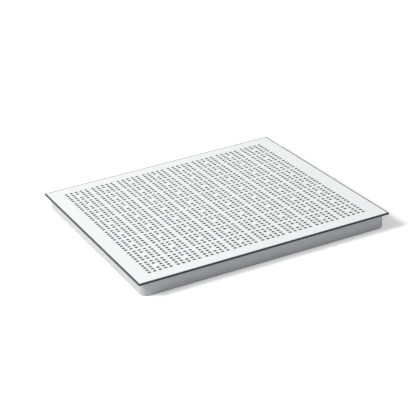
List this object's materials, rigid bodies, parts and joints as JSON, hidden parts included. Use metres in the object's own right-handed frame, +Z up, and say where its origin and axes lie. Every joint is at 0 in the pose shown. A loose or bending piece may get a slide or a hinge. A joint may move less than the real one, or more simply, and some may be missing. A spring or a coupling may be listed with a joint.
{
  "type": "perforated raised floor tile",
  "caption": "Square raised-floor tile: a perforated covering on a perforated steel sheet, a drawn steel pan of cups with air holes below, and black strips round the edge.",
  "frame": {"origin": "middle of the face that the tile rests on", "axes": "+Z up, out of the walking face; +X and +Y along the tile's sides"},
  "size_m": [0.6, 0.6, 0.0365],
  "materials": {
    "covering": "satin white laminate",
    "sheet_steel": "grey powder coat",
    "pan_steel": "light grey powder coat",
    "edge_strip": "satin black strip"
  },
  "bodies": {
    "root": {"surface_covering": "covering", "top_sheet": "sheet_steel", "bottom_pan": "pan_steel", "edge_strip_front": "edge_strip", "edge_strip_right": "edge_strip", "edge_strip_back": "edge_strip", "edge_strip_left": "edge_strip"}
  },
  "joints": []
}
